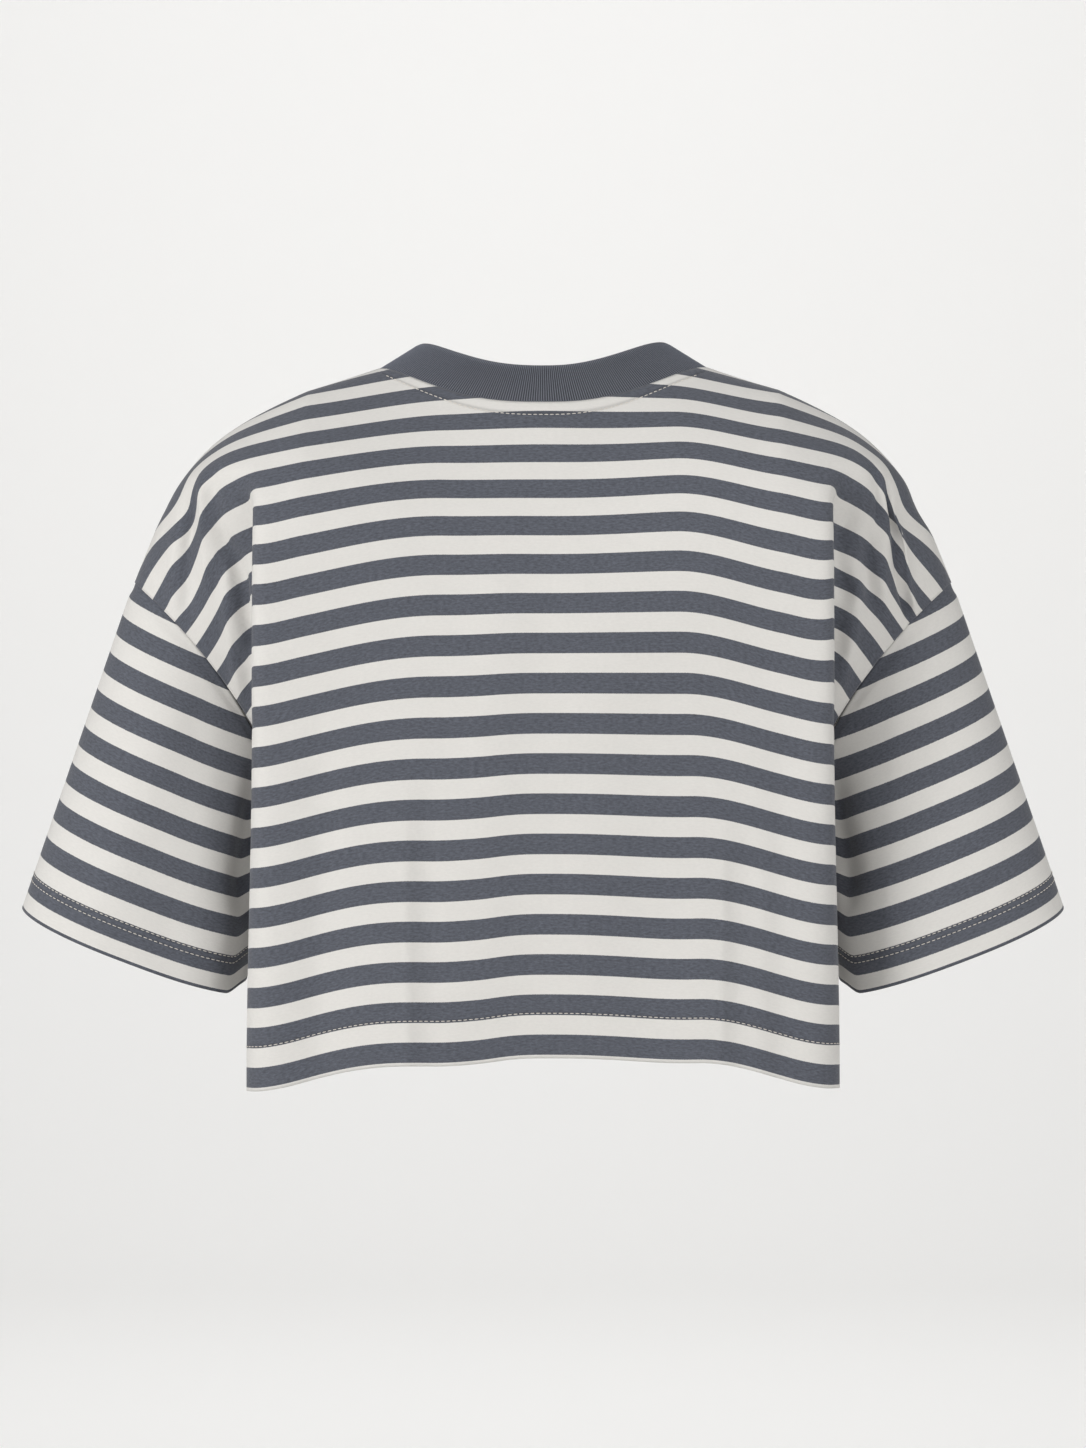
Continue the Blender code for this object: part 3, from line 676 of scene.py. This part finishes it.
def sleeve_folds(side, around, lengths):
    """Heights of a sleeve's soft folds; each drifts round the sleeve as it runs down."""
    height = np.zeros((len(lengths), len(around)))
    for fold_side, angle, drift, first, last, width, tall in SLEEVE_FOLDS:
        if fold_side in (side, 0):
            centre = angle + drift * lengths[:, None]
            off = np.angle(np.exp(1j * (around[None, :] - centre)))
            fade = ease((lengths - first) / 0.25) * ease((last - lengths) / 0.25)
            height = height + tall * fade[:, None] * hump(off, width)
    return height


def resample_ring(ring, count):
    """A closed ring at count even steps of its length."""
    closed = np.vstack([ring, ring[:1]])
    return along(closed, np.arange(count) / count)


def smooth_ring(ring, passes):
    for _ in range(passes):
        ring = (np.roll(ring, 1, axis=0) + 2 * ring + np.roll(ring, -1, axis=0)) / 4
    return ring


def make_neckband(back, front, columns, material):
    """Rib knit folded double: its rows go up the outside, over the edge and down the inside."""
    ring = smooth_ring(resample_ring(neck_ring(back, front, columns), 600), 12)
    length = np.linalg.norm(np.roll(ring, -1, axis=0) - ring, axis=1).sum()
    ribs = round(length / RIB_PITCH)
    ring = resample_ring(ring, ribs * RIB_SAMPLES)
    rise = np.linspace(1, -0.10, 12)
    outer = band_points(ring, rise)
    climb = outer[0] - outer[-1]
    climb = climb / np.linalg.norm(climb, axis=1)[:, None]
    tangent = np.roll(ring, -1, axis=0) - np.roll(ring, 1, axis=0)
    normal = np.cross(tangent, climb)
    normal = normal / np.linalg.norm(normal, axis=1)[:, None]
    wave = np.cos(np.arange(len(ring)) * 2 * pi / RIB_SAMPLES)
    fade = ease((1 - rise) / 0.10)[:, None, None]
    outer = outer + normal[None] * (RIB_DEPTH * wave)[None, :, None] * fade
    turn = np.linspace(pi / 2, -pi / 2, 7)[1:-1]
    edge = [outer[0] + climb * BAND_EDGE * np.cos(a) - normal * BAND_EDGE * (1 - np.sin(a)) for a in turn]
    inner = [row - normal * 2 * BAND_EDGE for row in outer]
    rows = np.concatenate([np.array(inner[::-1]), np.array(edge[::-1]), outer])
    down = np.concatenate([BAND_HEIGHT * (rise[::-1] - 1), np.zeros(len(edge)), BAND_HEIGHT * (1 - rise)])
    reach = np.arange(len(ring)) * length / len(ring)
    uv = np.stack(np.broadcast_arrays(reach[None, :], down[:, None]), axis=2)
    mesh = loft("neckband_rib", rows, uv, length)
    return cloth("neckband_rib", mesh, material, 0.0, "neckband"), length


# ---- stitches ----------------------------------------------------------------------------------
def stitch_row(line, out):
    """Short rounded stitches along a line; out holds the cloth's outward normals."""
    steps = np.linalg.norm(np.diff(line, axis=0), axis=1)
    run = np.concatenate(([0.0], np.cumsum(steps)))
    starts = np.arange(0, run[-1] - STITCH_LENGTH, STITCH_LENGTH + STITCH_GAP)
    shape = ((0.0, 0.15), (0.2, 0.85), (0.5, 1.0), (0.8, 0.85), (1.0, 0.15))
    vertices = []
    faces = []
    for start in starts:
        first = len(vertices)
        for share, fat in shape:
            at = start + share * STITCH_LENGTH
            centre = np.array([np.interp(at, run, line[:, i]) for i in range(3)])
            up = np.array([np.interp(at, run, out[:, i]) for i in range(3)])
            ahead = np.array([np.interp(at + 0.0005, run, line[:, i]) for i in range(3)]) - centre
            sideways = np.cross(up, ahead)
            sideways = sideways / (np.linalg.norm(sideways) + 1e-12)
            radius = STITCH_RADIUS * fat
            lift = centre + up * STITCH_RADIUS * 0.6 * fat
            for k in range(6):
                turn = k * pi / 3
                vertices.append(lift + radius * (np.cos(turn) * up + np.sin(turn) * sideways))
        for i in range(len(shape) - 1):
            for k in range(6):
                a = first + 6 * i + k
                b = first + 6 * i + (k + 1) % 6
                faces.append((a, b, b + 6, a + 6))
    return vertices, faces


def make_stitches(name, rows, material):
    vertices = []
    faces = []
    for line, out in rows:
        more, sides = stitch_row(line, out)
        faces += [tuple(i + len(vertices) for i in side) for side in sides]
        vertices += [tuple(v) for v in more]
    mesh = bpy.data.meshes.new(name)
    mesh.from_pydata(vertices, [], faces)
    mesh.shade_smooth()
    mesh.materials.append(material)
    thing = bpy.data.objects.new(name, mesh)
    bpy.context.scene.collection.objects.link(thing)
    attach(thing, "root")
    return thing


def grid_normals(points, sign, is_ring=False):
    across = np.gradient(points, axis=1)
    if is_ring:
        across = np.roll(points, -1, axis=1) - np.roll(points, 1, axis=1)
    down = np.gradient(points, axis=0)
    normal = np.cross(down, across) * sign
    return normal / (np.linalg.norm(normal, axis=2)[:, :, None] + 1e-12)


def row_at(points, normals, shares):
    """The line that crosses a grid's columns at the given shares of their length."""
    rows = points.shape[0]
    at = np.clip(shares, 0, 1) * (rows - 1)
    low = np.minimum(at.astype(int), rows - 2)
    part = (at - low)[:, None]
    column = np.arange(points.shape[1])
    line = points[low, column] * (1 - part) + points[low + 1, column] * part
    out = normals[low, column] * (1 - part) + normals[low + 1, column] * part
    return line, out


# ---- materials ---------------------------------------------------------------------------------
class Nodes:
    """Short hand for building a material's node tree."""

    def __init__(self, name):
        self.material = bpy.data.materials.new(name)
        self.material.use_nodes = True
        self.tree = self.material.node_tree
        self.shader = self.tree.nodes["Principled BSDF"]

    def add(self, kind, **inputs):
        node = self.tree.nodes.new(kind)
        for key, value in inputs.items():
            self.set(node, key.replace("_", " "), value)
        return node

    def set(self, node, socket, value):
        target = node.inputs[int(socket)] if socket.isdigit() else node.inputs[socket]
        if isinstance(value, bpy.types.NodeSocket):
            self.tree.links.new(value, target)
        else:
            target.default_value = value

    def math(self, operation, *values):
        node = self.tree.nodes.new("ShaderNodeMath")
        node.operation = operation
        for i, value in enumerate(values):
            self.set(node, str(i), value)
        return node.outputs[0]

    def mix(self, share, a, b, blend="MIX"):
        node = self.tree.nodes.new("ShaderNodeMix")
        node.data_type = "RGBA"
        node.blend_type = blend
        self.set(node, "0", share)
        self.set(node, "6", a if isinstance(a, bpy.types.NodeSocket) else (*a, 1.0))
        self.set(node, "7", b if isinstance(b, bpy.types.NodeSocket) else (*b, 1.0))
        return node.outputs[2]

    def noise(self, vector, scale, detail=2.0, rough=0.5):
        node = self.add("ShaderNodeTexNoise", Vector=vector, Scale=scale, Detail=detail, Roughness=rough)
        return node.outputs["Fac"]

    def pattern(self):
        """The pattern coordinates in millimetres: across, down and both as a vector."""
        uv = self.tree.nodes.new("ShaderNodeUVMap")
        uv.uv_map = "pattern"
        split = self.add("ShaderNodeSeparateXYZ", Vector=uv.outputs[0])
        across = self.math("MULTIPLY", split.outputs[0], 1000.0)
        down = self.math("MULTIPLY", split.outputs[1], 1000.0)
        both = self.tree.nodes.new("ShaderNodeCombineXYZ")
        self.set(both, "0", across)
        self.set(both, "1", down)
        return across, down, both.outputs[0]

    def stretched(self, vector, x, y):
        node = self.tree.nodes.new("ShaderNodeVectorMath")
        node.operation = "MULTIPLY"
        self.set(node, "0", vector)
        self.set(node, "1", (x, y, 1.0))
        return node.outputs[0]


def jersey(name, first_stripe, grooves, hem_edge=0.0, neck_groove=False):
    """Fine striped single jersey, with sizes in metres.

    Stitching draws it in at each of the grooves and, with neck_groove, along the neck; its colour
    is darkened there with painted shade. hem_edge is the width of the dark edge of the hem.
    """
    n = Nodes(name)
    across, down, both = n.pattern()
    ragged = n.math("SUBTRACT", n.noise(n.stretched(both, 1.3, 1.0), 1.0), 0.5)
    shaky = n.math("MULTIPLY_ADD", ragged, 0.55, down)
    moved = n.math("SUBTRACT", shaky, first_stripe * 1000)
    phase = n.math("FLOORED_MODULO", moved, STRIPE_REPEAT * 1000)
    edge_in = n.math("MINIMUM", n.math("DIVIDE", phase, 0.25), 1.0)
    edge_out = n.math("DIVIDE", n.math("SUBTRACT", STRIPE_DARK * 1000 + 0.12, phase), 0.25)
    share = n.math("MULTIPLY", edge_in, n.math("MAXIMUM", n.math("MINIMUM", edge_out, 1.0), 0.0))
    if hem_edge:
        sliver = n.math("LESS_THAN", shaky, hem_edge * 1000)
        share = n.math("MAXIMUM", share, sliver)
    blotch = n.noise(n.stretched(both, 0.32, 0.90), 1.0, 5.0, 0.66)
    cloud = n.noise(n.stretched(both, 0.05, 0.09), 1.0, 3.0, 0.55)
    patch = n.math("MULTIPLY_ADD", cloud, 0.16, 0.92)
    dark_tone = n.math("MULTIPLY", n.math("MULTIPLY_ADD", blotch, 1.75, 0.125), patch)
    light_tone = n.math("MULTIPLY_ADD", blotch, 0.18, n.math("MULTIPLY_ADD", cloud, 0.06, 0.90))
    dark = n.mix(1.0, DARK_YARN, grey(n, dark_tone), "MULTIPLY")
    light = n.mix(1.0, LIGHT_YARN, grey(n, light_tone), "MULTIPLY")
    groove_and_painted_shade = groove_depth(n, down, grooves, GROOVE_WIDTH)
    # Along the neck, painted shadow darkens a narrow strip just above the topstitching
    if neck_groove:
        below = n.tree.nodes.new("ShaderNodeAttribute")
        below.attribute_name = "below neck"
        under = n.math("MULTIPLY", below.outputs["Fac"], 1000.0)
        groove_and_painted_shade = n.math("ADD", groove_and_painted_shade, groove_depth(n, under, [NECK_STITCH - 0.0011], 0.0014))
    # Painted shade: the cloth's colour is darkened along each line of stitching, where the groove lies in
    # shadow
    shade = grey(n, n.math("MULTIPLY_ADD", groove_and_painted_shade, -0.24, 1.0))
    n.set(n.shader, "Base Color", n.mix(1.0, n.mix(share, light, dark), shade, "MULTIPLY"))
    n.shader.inputs["Roughness"].default_value = 0.88
    n.shader.inputs["Sheen Weight"].default_value = 0.20
    n.shader.inputs["Sheen Roughness"].default_value = 0.45
    knit_bump(n, across, down, both, groove_and_painted_shade)
    return n.material


def grey(n, value):
    """A grey of the given value."""
    node = n.tree.nodes.new("ShaderNodeCombineColor")
    for i in range(3):
        n.set(node, str(i), value)
    return node.outputs[0]


def groove_depth(n, down, grooves, width):
    """1 along each line of stitching, 0 away from it."""
    depth = 0.0
    for place in grooves:
        off = n.math("DIVIDE", n.math("SUBTRACT", down, place * 1000), width * 1000)
        near = n.math("EXPONENT", n.math("MULTIPLY", n.math("MULTIPLY", off, off), -1.0))
        depth = n.math("ADD", near, depth)
    return depth


def knit_bump(n, across, down, both, groove_and_painted_shade):
    """Wales and courses of the jersey, with some unevenness, sunk where it is stitched."""
    wale = n.math("SINE", n.math("MULTIPLY", across, 2 * pi / 0.75))
    course = n.math("SINE", n.math("MULTIPLY", down, 2 * pi / 0.60))
    loops = n.math("MULTIPLY", wale, course)
    wobble = n.noise(n.stretched(both, 0.35, 0.8), 1.0, 3.0)
    height = n.math("MULTIPLY_ADD", loops, 0.30, n.math("MULTIPLY_ADD", groove_and_painted_shade, -1.6, wobble))
    bump = n.add("ShaderNodeBump", Strength=0.35, Distance=0.00025, Height=height)
    n.set(n.shader, "Normal", bump.outputs[0])


def rib_knit(name):
    n = Nodes(name)
    across, down, both = n.pattern()
    wave = n.math("COSINE", n.math("MULTIPLY", across, 2 * pi / (RIB_PITCH * 1000)))
    rib = n.math("MULTIPLY_ADD", wave, 0.5, 0.5)
    heather = n.noise(n.stretched(both, 1.6, 0.7), 1.0, 3.0, 0.6)
    # Painted shade: the rib's colour is lighter on each crest and darker in the valleys between ribs
    rib_painted_shade = n.math("MULTIPLY_ADD", rib, 1.15, 0.32)
    tone = n.math("MULTIPLY", rib_painted_shade, n.math("MULTIPLY_ADD", heather, 0.5, 0.78))
    n.set(n.shader, "Base Color", n.mix(1.0, RIB_YARN, grey(n, tone), "MULTIPLY"))
    n.shader.inputs["Roughness"].default_value = 0.9
    n.shader.inputs["Sheen Weight"].default_value = 0.2
    n.shader.inputs["Sheen Roughness"].default_value = 0.5
    loops = n.math("SINE", n.math("MULTIPLY", down, 2 * pi / 0.7))
    height = n.math("MULTIPLY_ADD", loops, 0.3, heather)
    bump = n.add("ShaderNodeBump", Strength=0.3, Distance=0.0002, Height=height)
    n.set(n.shader, "Normal", bump.outputs[0])
    return n.material


def plain(name, colour, roughness):
    n = Nodes(name)
    n.set(n.shader, "Base Color", (*colour, 1.0))
    n.shader.inputs["Roughness"].default_value = roughness
    return n.material


# ---- stage -------------------------------------------------------------------------------------
def make_stage():
    """A pale floor that curves up into a backdrop."""
    floor_z = -1.30
    bend_y = 6.2
    bend_radius = 1.5
    profile = [(-9.0, floor_z), (bend_y, floor_z)]
    for turn in np.linspace(0, pi / 2, 13)[1:]:
        profile.append((bend_y + bend_radius * np.sin(turn), floor_z + bend_radius * (1 - np.cos(turn))))
    profile.append((bend_y + bend_radius, 5.0))
    mesh = bpy.data.meshes.new("backdrop")
    vertices = [(x, y, z) for y, z in profile for x in (-9.0, 9.0)]
    faces = [(2 * i, 2 * i + 1, 2 * i + 3, 2 * i + 2) for i in range(len(profile) - 1)]
    mesh.from_pydata(vertices, [], faces)
    mesh.shade_smooth()
    mesh.materials.append(plain("studio paper", BACKDROP, 0.95))
    backdrop = bpy.data.objects.new("backdrop", mesh)
    bpy.context.scene.collection.objects.link(backdrop)


def area_light(name, place, target, size, power, colour=(1, 1, 1)):
    light = bpy.data.lights.new(name, "AREA")
    light.shape = "RECTANGLE"
    light.size, light.size_y = size
    light.energy = power
    light.color = colour
    lamp = bpy.data.objects.new(name, light)
    bpy.context.scene.collection.objects.link(lamp)
    lamp.location = place
    aim = Vector(target) - Vector(place)
    lamp.rotation_euler = aim.to_track_quat("-Z", "Y").to_euler()


def make_light():
    world = bpy.data.worlds.new("studio")
    bpy.context.scene.world = world
    world.use_nodes = True
    background = world.node_tree.nodes["Background"]
    background.inputs["Color"].default_value = (1.0, 1.0, 1.0, 1.0)
    background.inputs["Strength"].default_value = 0.22
    area_light("key", (-2.9, -3.3, 1.7), (0, 0, -0.2), (1.6, 1.6), 118)
    area_light("fill", (2.4, -3.8, 1.5), (0, 0, -0.25), (1.8, 1.8), 62)
    area_light("left side", (-3.6, -0.7, 1.0), (0, 0, -0.2), (1.2, 1.6), 24)
    area_light("right side", (3.6, -0.9, 1.2), (0, 0, -0.2), (1.2, 1.6), 22)
    area_light("backdrop light", (0.0, 3.4, 3.0), (0, 7.5, -1.3), (5.0, 1.2), 134)


def make_camera():
    camera = bpy.data.cameras.new("camera")
    camera.sensor_fit = "HORIZONTAL"
    camera.sensor_width = 36.0
    camera.lens = 165.2
    camera.clip_end = 60.0
    holder = bpy.data.objects.new("camera", camera)
    bpy.context.scene.collection.objects.link(holder)
    holder.location = (0.0, -3.223, -0.230)
    holder.rotation_euler = (pi / 2, 0.0, 0.0)
    bpy.context.scene.camera = holder


# ---- assembly ----------------------------------------------------------------------------------
def panel_stitches(name, points, sign, columns, thread):
    """A panel's hem stitching and the row below its neck."""
    normals = grid_normals(points, sign)
    reach = np.abs(np.concatenate([-columns[:0:-1], columns])) * SHOULDER_REACH
    length = BODY_LENGTH - panel_top(reach, -sign)
    neck = reach < NECK_HALF - 0.004
    hem = row_at(points, normals, 1 - HEM_STITCH / length)
    seam = row_at(points[:, neck], normals[:, neck], NECK_STITCH / length[neck])
    return make_stitches(name + "_stitching", [hem, seam], thread)


def cuff_stitches(name, points, thread):
    """The two closed rows of stitching round a cuff."""
    normals = grid_normals(points, 1, True)
    run = np.linalg.norm(points[0] - points[-1], axis=1)
    rows = []
    for up in CUFF_STITCHES:
        line, out = row_at(points, normals, 1 - up / run)
        rows.append((np.vstack([line, line[:1]]), np.vstack([out, out[:1]])))
    return make_stitches(name + "_stitching", rows, thread)


def build():
    scene = bpy.context.scene
    scene.view_settings.view_transform = "Standard"
    hem_grooves = [BODY_LENGTH - HEM_STITCH]
    body_jersey = jersey("striped jersey", BODY_FIRST_STRIPE, hem_grooves, neck_groove=True)
    sleeve_jersey = jersey("striped sleeve jersey", SLEEVE_FIRST_STRIPE, CUFF_STITCHES, HEM_EDGE)
    rib = rib_knit("rib knit")
    thread = plain("sewing thread", THREAD, 0.6)

    panels, back, front, columns = make_panels(body_jersey)
    left, left_points = make_sleeve(-1, sleeve_jersey)
    right, right_points = make_sleeve(+1, sleeve_jersey)
    band, band_length = make_neckband(back, front, columns, rib)

    stitches = {
        "back_panel": panel_stitches("back_panel", back, 1, columns, thread),
        "front_panel": panel_stitches("front_panel", front, -1, columns, thread),
        "sleeve_left": cuff_stitches("sleeve_left", left_points, thread),
        "sleeve_right": cuff_stitches("sleeve_right", right_points, thread),
    }

    make_stage()
    make_light()
    make_camera()


build()
